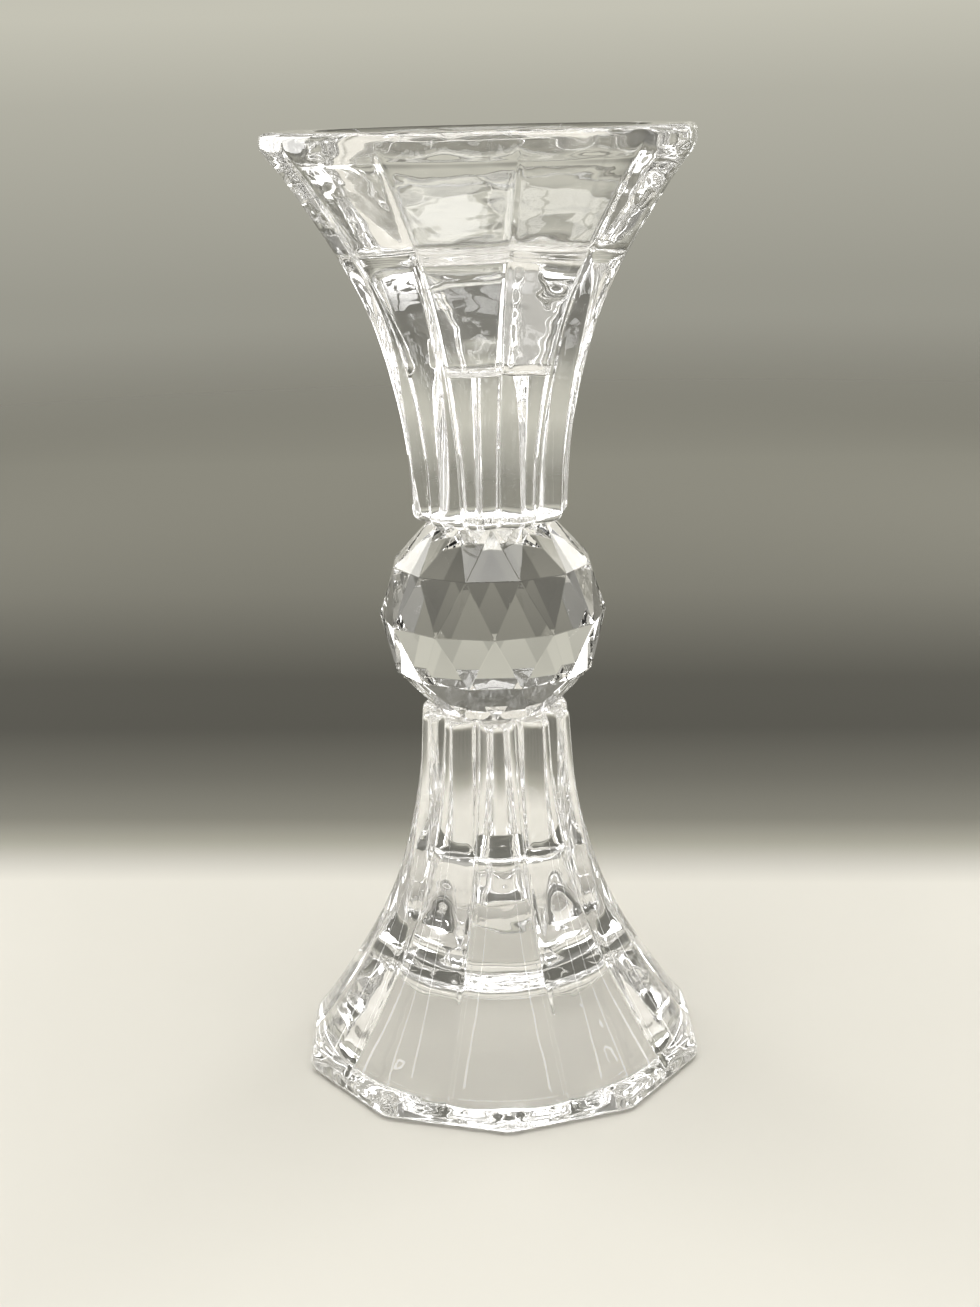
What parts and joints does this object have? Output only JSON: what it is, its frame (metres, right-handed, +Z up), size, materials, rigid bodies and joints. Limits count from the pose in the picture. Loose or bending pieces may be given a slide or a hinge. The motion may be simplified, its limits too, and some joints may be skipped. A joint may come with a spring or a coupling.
{
  "type": "glass candlestick",
  "caption": "Clear glass candlestick: flared many-sided foot and cup joined by a faceted crystal ball, with a tealight ledge above a taper-candle socket.",
  "frame": {"origin": "centre of the foot on the table", "axes": "+Z up along the stem towards the cup; the foot is ten-sided, with a corner facing -Y and a flat side facing +X"},
  "size_m": [0.0916, 0.0924, 0.2068],
  "materials": {
    "base_glass": "fire-polished clear pressed glass, faint ripples",
    "cup_glass": "fire-polished clear pressed glass, faint ripples",
    "crystal": "flat polished facets, clear cut crystal",
    "adhesive": "clear cured adhesive"
  },
  "bodies": {
    "root": {"pressed_glass_base": "base_glass", "lower_adhesive_film": "adhesive", "cut_crystal_ball": "crystal", "upper_adhesive_film": "adhesive", "pressed_glass_cup": "cup_glass"}
  },
  "joints": []
}
